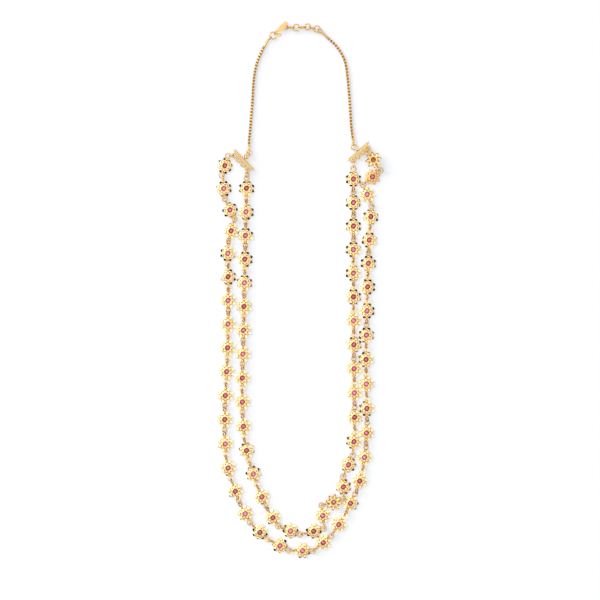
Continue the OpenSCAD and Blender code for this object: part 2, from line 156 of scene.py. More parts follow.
def places(route, poses):
    """Turns (count, 3, 3) and middles (count, 3) of a string's flowers, x along the string, with their
    headings and with 1 for a flower on its back and -1 for one on its face."""
    p = spots(route)
    ahead, back = neighbours(len(p))
    step = p[ahead] - p[back]
    head = np.arctan2(step[:, 1], step[:, 0])
    roll, lift = np.zeros(len(p)), np.zeros(len(p))
    for n, (heading, rolled, lifted) in poses.items():
        head[n - 1], roll[n - 1], lift[n - 1] = math.radians(heading), rolled, lifted
    flip = np.where(roll > 90, -1.0, 1.0)
    tip_over = np.zeros((len(p), 3, 3))
    tip_over[:, 0, 0], tip_over[:, 1, 1], tip_over[:, 2, 2] = 1, flip, flip
    return turn_z(head) @ tip_over, np.column_stack([p, AXIS_H + lift]), head, flip


# Meshes: a part is (points, faces, material numbers), and a triangle names its last corner twice
SHARP = math.radians(28)             # faces that meet at a larger angle keep a hard edge


def grid_faces(rows, cols, wrap_rows=False, wrap_cols=False):
    """Quads of a rows x cols grid of points, turning the same way all over."""
    r = np.arange(rows if wrap_rows else rows - 1)[:, None]
    c = np.arange(cols if wrap_cols else cols - 1)[None, :]
    r2, c2 = (r + 1) % rows, (c + 1) % cols
    return np.stack([r * cols + c, r * cols + c2, r2 * cols + c2, r2 * cols + c], -1).reshape(-1, 4)


def copies(points, faces, turns, moves):
    """The same part, or one of (count, points, 3) for each, turned and moved to every place."""
    count = len(moves)
    base = np.broadcast_to(points, (count,) + points.shape[-2:])
    p = np.einsum("kij,kvj->kvi", turns, base) + moves[:, None, :]
    f = faces[None] + (np.arange(count) * base.shape[1])[:, None, None]
    return p.reshape(-1, 3), f.reshape(-1, 4)


def torus(radius, wire, around, across, upright=False):
    """Ring of wire carried round a circle, lying, or upright along x. The wire's section is a little squared
    by wear: sign(c) |c|^q across and sign(s) |s|^q up, with c = cos b, s = sin b and q = SQUARED."""
    a, b = circle(around)[:, None], circle(across)[None, :]
    c, s = [np.sign(v) * np.abs(v) ** SQUARED for v in (np.cos(b), np.sin(b))]
    p = round_z(radius + wire * c, a, wire * s).reshape(-1, 3)
    f = grid_faces(around, across, True, True)
    if upright:
        return p[:, [0, 2, 1]], f
    return p, f[:, ::-1]


def turned(profile, around):
    """Surface of revolution: a closed profile [radius, height] carried round z."""
    radius, height = profile.T
    p = round_z(radius, circle(around)[:, None], height)
    return p.reshape(-1, 3), grid_faces(around, len(profile), True, True)


def ends_closed(points, faces, around, along):
    """Closes a tube of around x along points at both ends with a fan of triangles to a middle point."""
    first, last = np.arange(around) * along, np.arange(around) * along + along - 1
    tips = np.stack([points[first].mean(0), points[last].mean(0)])
    n = len(points)
    a = np.stack([first, np.roll(first, -1), np.full(around, n), np.full(around, n)], -1)
    b = np.stack([np.roll(last, -1), last, np.full(around, n + 1), np.full(around, n + 1)], -1)
    return np.concatenate([points, tips]), np.concatenate([faces, a, b])


def oval_tube(middles, wide, high, across, around=14):
    """Closed tube of oval section round middles (n, 3). At angle b it lies wide cos b from a middle in the
    direction across, made square to the tube, and high sin b square to both."""
    n = len(middles)
    b = circle(around)[:, None, None]
    ahead = unit(np.gradient(middles, axis=0))
    side = unit(across - (across * ahead).sum(1)[:, None] * ahead)
    up = np.cross(side, ahead)
    p = middles + np.cos(b) * wide[:, None] * side + np.sin(b) * high[:, None] * up
    return ends_closed(p.reshape(-1, 3), grid_faces(around, n, True, False), around, n)


def build(name, parts, materials):
    """One mesh object from parts, in metres, smooth but for its hard edges."""
    points = np.concatenate([p for p, f, m in parts]) * MM
    shift = np.cumsum([0] + [len(p) for p, f, m in parts[:-1]])
    faces = np.concatenate([f + s for (p, f, m), s in zip(parts, shift)]).astype(np.int32)
    which = np.concatenate([np.broadcast_to(m, len(f)) for p, f, m in parts]).astype(np.int32)
    sizes = np.where(faces[:, 3] == faces[:, 2], 3, 4).astype(np.int32)
    loops = faces.ravel()[(np.arange(4)[None, :] < sizes[:, None]).ravel()]
    mesh = bpy.data.meshes.new(name)
    mesh.vertices.add(len(points))
    mesh.vertices.foreach_set("co", points.astype(np.float32).ravel())
    mesh.loops.add(len(loops))
    mesh.loops.foreach_set("vertex_index", loops)
    mesh.polygons.add(len(faces))
    mesh.polygons.foreach_set("loop_start", np.concatenate([[0], np.cumsum(sizes)[:-1]]).astype(np.int32))
    mesh.polygons.foreach_set("material_index", which)
    mesh.polygons.foreach_set("use_smooth", np.ones(len(faces), bool))
    for material in materials:
        mesh.materials.append(material)
    mesh.update(calc_edges=True)
    mesh.validate()
    mesh.set_sharp_from_angle(angle=SHARP)
    obj = bpy.data.objects.new(name, mesh)
    bpy.context.scene.collection.objects.link(obj)
    return obj


# The flower: heights are from its back
LEAF, FACET, RING, DULL_SHADED, LOOP, CUP_WALL = range(6)       # its materials
DULL_SHADED_FLOWER = 36                     # flower of the outer string whose leaves, facets and cup are all in the dull material: rougher metal, and a darker orange gold that is painted shade
PETALS = 8
PETAL_ANGLES = circle(PETALS) + np.pi / PETALS
ROOT, CUT, TIP = 2.3, 3.45, 4.9      # along a petal: hidden root, start of the cut facet, blunt end
WIDEST, POINT = 2.6, 4.94            # where its outline starts to narrow, and where it would come to a point
HALF_WIDE, HALF_AT_CUT = 1.12, 0.85  # half width at the widest place, and about that where the cut starts
EIGHTH = 0.395                       # half width for each mm out that stays inside an eighth of the circle
PETAL_TOP, PETAL_RIM = 1.34, 0.3     # height of its crown, and the least height of its rim
CROWN = 0.3                          # how much lower a petal's edge is than its middle
CUT_STARTS = CUT - 0.5, TIP - 0.12   # where the cut may start
BACK_WIDE, BACK_UP = 0.97, 0.02      # width of its back as a share of its top's, and height of that rim
HOLLOW = 0.45, 1.2                   # depth of its back, and how long the hollow takes to end at the tip
HOLLOW_OVER = 0.6, 0.7               # both in a flower that lies on its face
ACROSS, ALONG, ON_CUT = 9, 5, 4      # points across it, rows from the root to the cut, rows on the cut
CLOSER = 1.6                         # power that draws the rows on the cut closer towards the tip
CUP = np.array([                     # section of the cup's wall: [radius, height]
    [1.6, 0.05], [1.3, 0.22], [1.0, 0.55], [1.0, 1.2], [1.42, 1.25], [1.5, 1.72], [1.53, 2.0], [1.6, 2.12],
    [1.74, 2.16], [1.88, 2.1], [1.96, 1.95], [1.98, 1.5], [1.95, 0.05]])
CUP_STEPS, ROSETTE_STEPS = 48, 96    # points round them


def petal_half_width(x):
    """HALF_WIDE (1 - t^2.6)^0.72, t from 0 at the widest place to 1 at the point, and at most EIGHTH x."""
    t = np.clip((x - WIDEST) / (POINT - WIDEST), 0, 1)
    return np.minimum(HALF_WIDE * (1 - t ** 2.6) ** 0.72, EIGHTH * x)


def petal_faces():
    """Faces of one petal, whose top points come before its back points: the top, the back, and the wall that
    joins them round the rim, with their materials."""
    rows = ALONG + ON_CUT
    top = grid_faces(rows, ACROSS)
    grid = np.arange(rows * ACROSS).reshape(rows, ACROSS)
    rim = np.concatenate([grid[0, :-1], grid[:-1, -1], grid[-1, :0:-1], grid[:0:-1, 0]])
    after = np.roll(rim, -1)
    wall = np.stack([after + grid.size, rim + grid.size, rim, after], -1)
    faces = np.concatenate([top[:, ::-1], top + grid.size, wall])
    material = np.full(len(faces), LEAF)
    material[:len(top)][np.repeat(np.arange(rows - 1) >= ALONG - 1, ACROSS - 1)] = FACET
    return faces, material


def petals(steep, tilt, flip):
    """Eight petals of every flower, crowned leaves with one flat facet cut at each tip, and a hollow back.
    steep and tilt are (count, 8): a facet falls outwards at the angle steep, and sideways at the slope tilt.
    It starts where the leaf PETAL_TOP - CROWN u^2 meets the plane PETAL_TOP - tan(steep) (x - CUT) + tilt y,
    u from -1 to 1 across the petal. At the back a hollow deepens with 1 - u^2."""
    u = np.linspace(-1, 1, ACROSS)
    fall, side = np.tan(steep)[..., None], tilt[..., None]
    meet = CUT + (CROWN * u ** 2 + side * u * HALF_AT_CUT) / fall
    meet = np.clip(meet, *CUT_STARTS)[..., None, :]
    on_leaf = np.linspace(0, 1, ALONG)[:, None]
    on_cut = 1 - (1 - np.arange(1, ON_CUT + 1)[:, None] / ON_CUT) ** CLOSER
    x = np.concatenate([ROOT + (meet - ROOT) * on_leaf, meet + (TIP - meet) * on_cut], -2)
    y = petal_half_width(x) * u
    plane = PETAL_TOP - fall[..., None] * (x - CUT) + side[..., None] * y
    leaf = np.minimum(PETAL_TOP - CROWN * u ** 2, plane)
    z = np.where(np.arange(ALONG + ON_CUT)[:, None] < ALONG, leaf, plane)
    top = np.stack([x, y, np.maximum(z, PETAL_RIM)], -1)
    over = (flip < 0)[:, None, None, None]
    deep, ending = [np.where(over, on_face, on_back) for on_face, on_back in zip(HOLLOW_OVER, HOLLOW)]
    hollow = deep * (1 - u ** 2) * np.clip((TIP - x) / ending, 0, 1)
    back = np.stack([x, y * BACK_WIDE, hollow + BACK_UP], -1)
    both = np.stack([top, back], 2).reshape(len(steep), PETALS, -1, 3)
    points = np.einsum("pij,cpvj->cpvi", turn_z(PETAL_ANGLES), both)
    faces, material = petal_faces()
    faces = faces[None] + (np.arange(PETALS) * both.shape[2])[:, None, None]
    return points.reshape(len(steep), -1, 3), faces.reshape(-1, 4), np.tile(material, PETALS)


def rosette():
    """Eight rounded lobes round the cup, as one ring. With g = |cos 4a| its outline is groove + lobe g^0.7.
    At the share s of the way out its height is crest - fall s^2 - dip (1 - g) s^2, lowest in the grooves."""
    inside, groove, lobe = 1.7, 2.76, 0.44
    crest, fall, dip = 1.98, 0.34, 0.24
    under, inner_edge, narrower = 0.9, 1.4, 0.05
    a = circle(ROSETTE_STEPS)[:, None]
    ridge = np.abs(np.cos(PETALS / 2 * a))
    outer = groove + lobe * ridge ** 0.7
    s = np.array([0, 0.2, 0.45, 0.7, 0.88, 1.0])
    top_r = inside + (outer - inside) * s
    top_z = crest - fall * s ** 2 - dip * (1 - ridge) * s ** 2
    r = np.hstack([top_r, outer - narrower, np.full((len(a), 2), inside)])
    z = np.hstack([top_z, np.tile([under, under, inner_edge], (len(a), 1))])
    return round_z(r, a, z).reshape(-1, 3), grid_faces(len(a), r.shape[1], True, True)


def solder(side, reach):
    """Bead of solder from between two petals into the ring or loop whose middle is reach out, on side 1 or
    -1 of x. At the share s of its length its radius is thick sqrt(1 - (2s - 0.9)^2 / 1.3)."""
    around, along = 12, 8
    thick, start, into, down = 0.56, 3.3, 0.15, 0.28
    end = reach - RING_R + into
    a = -side * circle(around)[:, None]
    s = np.linspace(0, 1, along)
    r = thick * np.sqrt(np.clip(1 - (2 * s - 0.9) ** 2 / 1.3, 0.02, 1))
    x = np.broadcast_to(side * (start + (end - start) * s), (around, along))
    p = np.stack([x, r * np.cos(a), r * np.sin(a) - down], -1).reshape(-1, 3)
    return ends_closed(p, grid_faces(around, along, True, False), around, along)


def on_axis(points):
    """Points with heights above a flower's back, moved to heights above its wire axis."""
    return points - [0, 0, AXIS_H]


def joint_leans(head):
    """How far the ring after each flower, and the loop in it, lean together about the string, either way:
    none where the string turns by more than STRAIGHT, or at its end."""
    rng = np.random.default_rng(len(head))
    bend = np.abs(np.angle(np.exp(1j * (np.roll(head, -1) - head))))
    lean = np.radians(rng.uniform(*LEAN_RANGE, len(head))) * rng.choice([-1, 1], len(head))
    lean[-1] = 0
    return np.where(bend < STRAIGHT, lean, 0)


def flower_string(name, route, poses, first, last, slopes, materials):
    """One mesh of the flowers first..last of a string, whose facets have slopes(numbers, facing)."""
    turns, moves, head, flip = places(route, poses)
    lean = joint_leans(head)
    pick = slice(first - 1, last)
    ring_lean, loop_lean = turn_x(lean[pick]), turn_x(np.roll(lean, 1)[pick])
    turns, moves, head, flip = turns[pick], moves[pick], head[pick], flip[pick]
    numbers = np.arange(first, last + 1)
    every, is_first = numbers > 0, numbers == 1
    dull_shaded = numbers == (DULL_SHADED_FLOWER if route is OUTER_ROUTE else 0)
    parts = []

    def add(points, faces, material, where=every):
        """Puts a part on the flowers where. Leaves, facets and cup of the dull flower get rougher metal in a
        darker orange gold, which is painted shade.
        """
        p, f = copies(points, faces, turns[where], moves[where])
        which = np.tile(np.broadcast_to(material, len(faces)), (where.sum(), 1))
        all_dull_shaded = dull_shaded[where][:, None] & np.isin(which, (LEAF, FACET, CUP_WALL))
        parts.append((p, f, np.where(all_dull_shaded, DULL_SHADED, which).ravel()))

    facing = head[:, None] + flip[:, None] * PETAL_ANGLES
    leaves, faces, material = petals(*slopes(numbers, facing), flip)
    add(on_axis(leaves), faces, material)
    lobes, faces = rosette()
    add(on_axis(lobes), faces, LEAF)
    cup, faces = turned(CUP, CUP_STEPS)
    add(on_axis(cup), faces, CUP_WALL)
    ring, ring_faces = torus(RING_R, WIRE_R, *WIRE_STEPS)
    add(np.einsum("kij,vj->kvi", ring_lean, ring) + [RING_OUT, 0, 0], ring_faces, RING)
    add(*solder(1, RING_OUT), LOOP)
    loop, faces = torus(RING_R, WIRE_R, *WIRE_STEPS, upright=True)
    loops = np.einsum("kij,vj->kvi", loop_lean, loop) - [LOOP_OUT, 0, 0]
    add(loops[~is_first], faces, LOOP, ~is_first)
    add(*solder(-1, LOOP_OUT), LOOP)
    if is_first.any():               # a string starts at a second ring in place of a loop
        add(ring - [RING_OUT, 0, 0], ring_faces, RING, is_first)
    return build(name, parts, materials)


# How flowers lean in the photograph, in degrees, for their facets' slopes: {flower: (towards, how far)}
OUTER_LEAN = {
    1: (0, 27), 2: (15, 22), 3: (300, 26), 5: (244, 12), 6: (339, 16), 17: (240, 26), 18: (312, 27),
    19: (22, 11), 26: (192, 15), 28: (175, 18), 29: (115, 17), 30: (16, 15), 31: (15, 16), 32: (110, 20),
    33: (142, 22), 34: (60, 28)}
INNER_LEAN = {
    1: (60, 22), 2: (320, 15), 3: (60, 13), 4: (10, 16), 5: (66, 10), 12: (81, 10), 13: (96, 10),
    16: (262, 26), 17: (262, 20), 20: (32, 17), 21: (351, 12), 22: (153, 11), 26: (51, 11), 28: (23, 11),
    29: (180, 12), 30: (163, 16), 31: (88, 20), 32: (320, 34), 33: (270, 28)}
LEVEL_CUT = 19.0                     # slope of a level flower's facets, in degrees
CUT_SPREAD, TILT_SPREAD = 2.2, 0.1   # how much single facets differ: in degrees, and in sideways slope
CUT_RANGE = 12, 44                   # least and most slope, in degrees


def leaning(leans):
    """Facet slopes: LEVEL_CUT + lean (0.5 + 0.5 cos(facing - towards))^0.6, a little different at each."""
    def slopes(numbers, facing):
        rng = np.random.default_rng(int(numbers[0]) * 7 + 3)
        towards, far = np.array([leans.get(int(n), (0, 0)) for n in numbers], float).T[..., None]
        lean = far * (0.5 + 0.5 * np.cos(facing - np.radians(towards))) ** 0.6
        steep = LEVEL_CUT + lean + rng.normal(0, CUT_SPREAD, facing.shape)
        return np.radians(np.clip(steep, *CUT_RANGE)), rng.normal(0, TILT_SPREAD, facing.shape)
    return slopes


# The stones
STONE_R, GIRDLE_H = 1.47, 1.76       # radius, and height of the girdle above the flower's back
STONE_RINGS = [                      # share of STONE_R, points, start in eighths of a turn, height
    (0.56, 8, 0.5, 0.46), (0.8, 8, 0, 0.26), (1, 16, 0, 0.03), (1, 16, 0, -0.03), (0.62, 8, 0.5, -0.62),
    (0, 1, 0, 0.46), (0, 1, 0, -1.0)]
SPIN = 1.7                           # turn from one stone to the next, in radians
# Painted light of the facets: how bright each is painted, as painted highlight and shade in the stone's
# colour
TABLE_PAINTED_LIGHT = [0.72, 0.55, 0.9, 0.62, 0.78, 0.5, 0.95, 0.66]                              # of its eighths
OWN_PAINTED_LIGHT = 0.75                      # share of a face's painted light that is its own
TINTS = np.array([-0.06, -0.16, 0.18, 0.02, -0.12, 0.22, -0.2, 0.08, 0.14, -0.1, 0.0])   # of whole stones


def stone_parts():
    """Round cut stone: an eight-sided table, star, kite and girdle facets above, a pointed pavilion below.
    Returns points, faces and each face's painted light: how much light it seems to throw back, painted into
    its colour as painted highlight or shade."""
    p = np.concatenate([round_z(share * STONE_R, circle(count) + start * np.pi / 4, GIRDLE_H + up)
                        for share, count, start, up in STONE_RINGS])
    counts = [ring[1] for ring in STONE_RINGS]
    table, kite, rim, under, low, centre, point = np.cumsum(counts) - counts   # first point of each ring
    k = np.arange(8)
    after, before = (k + 1) % 8, (k - 1) % 8
    r0, r1, r2 = 2 * k, 2 * k + 1, (2 * k + 2) % 16
    facets = [                       # eight of each: the numbers of its corners, and its painted light
        (centre, table + k, table + after, table + after, TABLE_PAINTED_LIGHT),
        (table + before, kite + k, table + k, table + k, 0.42),
        (table + k, kite + k, kite + after, kite + after, 0.3),
        (kite + k, rim + r0, rim + r1, rim + r1, 0.12),
        (kite + k, rim + r1, kite + after, kite + after, 0.22),
        (kite + after, rim + r1, rim + r2, rim + r2, 0.1),
        (rim + r0, under + r0, under + r1, rim + r1, 0.1),
        (rim + r1, under + r1, under + r2, rim + r2, 0.1),
        (under + r0, low + k, under + r1, under + r1, 0.4),
        (under + r1, low + k, under + r2, under + r2, 0.4),
        (low + before, low + k, under + r0, under + r0, 0.5),
        (point, low + k, low + before, low + before, 0.65)]
    faces = np.stack([np.stack(np.broadcast_arrays(*corners, k)[:4], -1) for *corners, glow in facets], 1)
    painted_lights = np.stack([np.broadcast_to(glow, 8) for *corners, glow in facets], 1)
    return p, faces.reshape(-1, 4), painted_lights.ravel()


def stone_string(name, route, poses, first, last, material):
    """One mesh of the stones first..last of a string. A face's painted light, its painted highlight or
    shade, is partly that of another face of the stone, and the stone's tint is added."""
    turns, moves = places(route, poses)[:2]
    pick = slice(first - 1, last)
    numbers = np.arange(first, last + 1)
    p, f, glow = stone_parts()
    points, faces = copies(on_axis(p), f, turns[pick] @ turn_z(numbers * SPIN), moves[pick])
    obj = build(name, [(points, faces, 0)], [material])
    painted_lights = np.tile(glow, (len(numbers), 1))
    mixed = np.random.default_rng(11 + first).permuted(painted_lights, axis=1)
    value = OWN_PAINTED_LIGHT * painted_lights + (1 - OWN_PAINTED_LIGHT) * mixed + TINTS[numbers % len(TINTS)][:, None]
    # Each face's painted light goes on as an attribute that picks its colour
    attribute = obj.data.attributes.new("glow", "FLOAT", "FACE")
    attribute.data.foreach_set("value", np.clip(value, 0, 1).astype(np.float32).ravel())
    obj.data.polygons.foreach_set("use_smooth", np.zeros(len(faces), bool))
    return obj


# The box chains
STRAP, LINK_HIGH, LINK_WIDE = 0.36, 0.52, 0.7            # a link's strap, half height and half width
SLANT, HOLE_SLANT = (0.4, 0.34), (0.06, 0.06)            # how much its corners and its hole's are cut
HOLE_HIGH = 0.6 * LINK_HIGH          # half height at its hole
CHAIN_END = 0.55                     # from a chain's end to its first link's middle
CHAIN_SPARE = 0.3                    # length that isn't counted for links
NEAR = 0.4                           # how far ahead and back a link finds its direction
LINE_STEPS = 40                      # from each knot of its line to the next
# The core is a thin tube in the darker gold that fills the links' holes: painted shade
CORE_R = 0.3                         # radius of the core
# A link's faces take bright gold, or the darker gold that is painted shade
OUTSIDE, PAINTED_SHADE = range(2)           # materials of a link


def box_link(pitch):
    """One square link of flat strap, a frame in the x, y plane with long slanted corners; these, its ends
    and its inside take the darker gold of painted shade.
    It reaches half a pitch and one strap from its middle, so that it holds the links either side.
    Returns points, faces and each face's material."""
    long = pitch / 2 + STRAP

    def corners(x, y, cut_x, cut_y):
        """Outline of a rectangle of half size x, y whose four corners are cut off."""
        return np.array([[x, cut_y - y], [x, y - cut_y], [x - cut_x, y], [cut_x - x, y],
                         [-x, y - cut_y], [-x, cut_y - y], [cut_x - x, -y], [x - cut_x, -y]])

    edge, hole = corners(long, LINK_WIDE, *SLANT), corners(long - STRAP, LINK_WIDE - STRAP, *HOLE_SLANT)
    section = [(edge, LINK_HIGH), (hole, HOLE_HIGH), (hole, -HOLE_HIGH), (edge, -LINK_HIGH)]
    p = np.stack([np.column_stack([xy, np.full(8, z)]) for xy, z in section], 1).reshape(-1, 3)
    # Every face but the two flats along the link gets the darker gold: painted shade on corners, ends and
    # inside
    shade = np.full((8, 4), PAINTED_SHADE)
    shade[[2, 6]] = OUTSIDE, PAINTED_SHADE, OUTSIDE, OUTSIDE    # along the link: rim, inside, rim and outer flat
    return p, grid_faces(8, 4, True, True)[:, ::-1], shade.ravel()


def box_chain(name, route, pitch, materials):
    """Square links turned a quarter from one to the next, round a core that stands for their inner ends and,
    in the darker gold, fills their holes with painted shade. The chain is twisted a little, by 0.15 sin(0.17
    k + 0.6) at link k."""
    line = smooth_line(route, LINE_STEPS)
    run = distances(line)
    count = int((run[-1] - CHAIN_SPARE) / pitch)
    link = np.arange(count)
    pitch = (run[-1] - 2 * CHAIN_END) / (count - 1)
    along = CHAIN_END + pitch * link
    at, ahead, back = [read_line(line, run, along + shift) for shift in (0, NEAR, -NEAR)]
    forward = unit(ahead - back)
    side = unit(np.cross([0, 0, 1.0], forward))
    up = np.cross(forward, side)
    turn = link % 2 * (np.pi / 2) + 0.15 * np.sin(link * 0.17 + 0.6)
    c, s = np.cos(turn)[:, None], np.sin(turn)[:, None]
    turns = np.stack([forward, c * side + s * up, -s * side + c * up], -1)
    p, f, shade = box_link(pitch)
    points, faces = copies(p, f, turns, at)
    thin = np.full(count, CORE_R)
    core, core_faces = oval_tube(at, thin, thin, np.array([1.0, 0, 0]), 8)
    parts = [(points, faces, np.tile(shade, count)), (core, core_faces, PAINTED_SHADE)]
    return build(name, parts, materials)


# The end bars
LEFT_BAR, LEFT_BAR_TURN = np.array([-33.6, 78, 1.85]), -46
RIGHT_BAR, RIGHT_BAR_TURN = np.array([35.1, 82.9, 1.5]), 41
RAIL_HALF, RAIL_WIDE = 9, 0.58       # half length, and half width at its middle
RAIL_RISE = 0.36                     # how much its points bend up
LOBES_AT, LOBES_DOWN = np.arange(-1.5, 2) * 3.75, 2
LOBE_R, LOBE_WIRE, LOBE_FLAT = 1.28, 0.47, 0.8           # middle line, wire, and height as a share of it
WEB_HALF, WEB_DOWN = 6.9, 0.75       # half length of the web, and how far it lies below the rail
WEB_WIDE, WEB_HIGH = 0.62, 0.34      # its half width and half height
BAR_LOOP_R, BAR_LOOP_UP = 1.15, 1.8  # middle line of the loop, and how far it lies above the rail
UP_THE_BAR = np.array([0, 1.0, 0])


def end_bar(name, at, turn, materials):
    """Rounded rail with four ring lobes below it, a web between them and an upright loop above its middle.
    The rail's half width narrows by ((1.02 - t) / 0.2)^0.8, and its middle line rises by RAIL_RISE t^5, with
    t from 0 at its middle to 1 at its points."""
    x = RAIL_HALF * np.sin(np.linspace(-np.pi / 2, np.pi / 2, 25))
    t = np.abs(x) / RAIL_HALF
    wide = RAIL_WIDE * np.clip((1.02 - t) / 0.2, 0.12, 1) ** 0.8
    middles = np.column_stack([x, RAIL_RISE * t ** 5, np.zeros(len(x))])
    rail = oval_tube(middles, wide, 0.14 + 0.3 * (wide / RAIL_WIDE), UP_THE_BAR)
    lobe, lobe_faces = torus(LOBE_R, LOBE_WIRE, 28, 12)
    lobes = [(lobe * [1, 1, LOBE_FLAT] + [lobe_at, -LOBES_DOWN, 0], lobe_faces, 0) for lobe_at in LOBES_AT]
    middles = np.linspace([-WEB_HALF, -WEB_DOWN, 0], [WEB_HALF, -WEB_DOWN, 0], 9)
    web = oval_tube(middles, np.full(9, WEB_WIDE), np.full(9, WEB_HIGH), UP_THE_BAR, 8)
    loop, loop_faces = torus(BAR_LOOP_R, WIRE_R, 28, 10)
    upright = loop[:, [2, 0, 1]] + [0, BAR_LOOP_UP, 0]
    parts = [(*rail, 0), *lobes, (*web, 0), (upright, loop_faces, 1)]
    whirl = turn_z(math.radians(turn))
    return build(name, [(p @ whirl.T + at, f, m) for p, f, m in parts], materials)


# The hook
HOOK_EYE = np.array([-7.95, 157.6, 0])
PLATE_UP, PLATE_STEPS = 2, 64        # height of its plate's middle, and points round the plate
EYE_R, BEVEL = 0.85, 0.3             # radius of its eye, and width of the bevel along its edge
HOOK_EDGE = np.array([               # outline of the plate, from its eye
    [-6.3, -2.2], [-5.05, -1.1], [-3.95, 0.5], [-2.45, 1.85], [-1.1, 3.1], [0.1, 3.3], [0.9, 2.2], [1.1, 1],
    [1.5, 0.35], [1.3, -0.8], [0.3, -1.55], [-0.85, -1.65], [-2.6, -2.1], [-3.95, -2.6], [-4.7, -3.1],
    [-5.75, -3.35], [-6.4, -3]])[::-1]
HOOK_BEND = np.array([               # bent end, from the eye: [x, y, z, half width, half height]
    [-5.2, -2.35, 2, 0.33, 0.33], [-6.2, -2.65, 2, 0.33, 0.33], [-6.9, -3.2, 2, 0.33, 0.33],
    [-7.3, -3.65, 1.6, 0.33, 0.33], [-7.35, -3.95, 1, 0.33, 0.33], [-7.1, -4.25, 0.5, 0.35, 0.33],
    [-6.5, -4.4, 0.35, 0.6, 0.33], [-5.8, -4.45, 0.35, 0.9, 0.33], [-4.6, -4.45, 0.35, 0.95, 0.33],
    [-3.7, -4.4, 0.35, 0.8, 0.32], [-3.3, -4.37, 0.35, 0.6, 0.24], [-3.12, -4.35, 0.35, 0.3, 0.14]])


def hook(name, material):
    """Bevelled plate drawn between its eye and its edge, and a wire that bends down through the ring and
    comes back under it as a flattened tongue."""
    edge = np.vstack([HOOK_EDGE, HOOK_EDGE[:1]])
    run = distances(edge)
    rim = read_line(edge, run, np.linspace(0, run[-1], PLATE_STEPS, endpoint=False))
    eye = EYE_R * unit(rim)
    inset = rim - BEVEL * unit(rim)
    rows = [(eye, -0.35), (eye, 0.2), (eye * 1.15, 0.35), (inset, 0.33), (rim, 0.02), (rim, -0.35)]
    plate = np.stack([np.column_stack([xy, np.full(len(xy), PLATE_UP + z)]) for xy, z in rows], 1)
    plate_faces = grid_faces(PLATE_STEPS, len(rows), True, True)
    bend = smooth_line(HOOK_BEND, 4)
    tube, tube_faces = oval_tube(bend[:, :3], bend[:, 3], bend[:, 4], np.array([0, 1.0, 0]))
    parts = [(plate.reshape(-1, 3) + HOOK_EYE, plate_faces, 0), (tube + HOOK_EYE, tube_faces, 0)]
    return build(name, parts, [material])


# Materials
GRAIN_SCALE, GRAIN_DEPTH = 5200.0, 0.00002               # polished grain, by the metre and in metres


class Wire:
    """A socket that Python's arithmetic joins with Math nodes."""
    def __init__(self, graph, socket):
        self.graph, self.socket = graph, socket

    def _math(self, operation, a, b):
        """One Math node on two values, either of them a Wire or a number."""
        return self.graph.add("ShaderNodeMath", {"operation": operation}, {0: a, 1: b})

    def __add__(self, other):
        return self._math("ADD", self, other)

    def __radd__(self, other):
        return self._math("ADD", other, self)

    def __sub__(self, other):
        return self._math("SUBTRACT", self, other)

    def __rsub__(self, other):
        return self._math("SUBTRACT", other, self)

    def __mul__(self, other):
        return self._math("MULTIPLY", self, other)

    def __rmul__(self, other):
        return self._math("MULTIPLY", other, self)


class Graph:
    """Node tree of one material, or of the world."""
    def __init__(self, tree):
        self.tree = tree

    def add(self, kind, settings=None, inputs=None, out=0):
        """Adds a node with its settings, feeds its inputs with values or Wires, and gives one output."""
        node = self.tree.nodes.new(kind)
        for key, value in (settings or {}).items():
            if key == "stops":
                ramp = node.color_ramp
                while len(ramp.elements) < len(value):
                    ramp.elements.new(0.5)
                for element, (place, color) in zip(ramp.elements, value):
                    element.position, element.color = place, (*color, 1)
            else:
                setattr(node, key, value)
        for key, value in (inputs or {}).items():
            self.feed(node.inputs[key], value)
        return Wire(self, node.outputs[out])

    def feed(self, socket, value):
        """Links a Wire to the socket, or sets the socket's own value."""
        if isinstance(value, Wire):
            self.tree.links.new(value.socket, socket)
        else:
            socket.default_value = value

    def noise(self, place, scale, detail):
        """Clouds from 0 to 1, about 1 / scale metres wide."""
        return self.add("ShaderNodeTexNoise", {}, {"Vector": place, "Scale": scale, "Detail": detail}, "Fac")

    def mix(self, share, first, second):
        """Colour from first to second by share."""
        return self.add("ShaderNodeMix", {"data_type": "RGBA"}, {0: share, 6: first, 7: second}, 2)


def new_material(name):
    """A material with its graph and its shader's sockets."""
    material = bpy.data.materials.new(name)
    material.use_nodes = True
    return material, Graph(material.node_tree), material.node_tree.nodes["Principled BSDF"].inputs


def metal(name, bright, deep, rough, cloud_scale, grain, patches=0.06):
    """Polished gold: colour drifting between two tones, roughness in soft patches, and a fine grain."""
    material, graph, shader = new_material(name)
    place = graph.add("ShaderNodeTexCoord", out="Object")
    cloud = graph.noise(place, cloud_scale, 3.0)
    fine = graph.noise(place, GRAIN_SCALE, 2.0)
    graph.feed(shader["Base Color"], graph.mix(cloud, (*deep, 1), (*bright, 1)))
    graph.feed(shader["Roughness"], rough + patches * (cloud - 0.5) * 2 + 0.5 * patches * (fine - 0.5))
    bump = {"Height": fine, "Strength": grain, "Distance": GRAIN_DEPTH}
    graph.feed(shader["Normal"], graph.add("ShaderNodeBump", {}, bump, "Normal"))
    shader["Metallic"].default_value = 1.0
    return material


def gem(name):
    """Pink to crimson stone: each facet's painted light, a painted highlight or shade, picks its colour,
    under a clear polished surface.
    """
    material, graph, shader = new_material(name)
    glow = graph.add("ShaderNodeAttribute", {"attribute_name": "glow"}, out="Fac")
    cloud = graph.noise(graph.add("ShaderNodeTexCoord", out="Object"), 900.0, 2.0)
    stops = [(0.0, (0.17, 0.004, 0.02)), (0.25, (0.39, 0.018, 0.052)), (0.55, (0.6, 0.095, 0.2)),
             (1.0, (0.8, 0.38, 0.54))]
    tone = graph.add("ShaderNodeValToRGB", {"stops": stops}, {"Fac": glow + 0.16 * (cloud - 0.5)}, "Color")
    graph.feed(shader["Base Color"], tone)
    shader["Roughness"].default_value = 0.06
    shader["IOR"].default_value = 1.77
    shader["Coat Weight"].default_value = 0.4
    shader["Coat Roughness"].default_value = 0.02
    return material


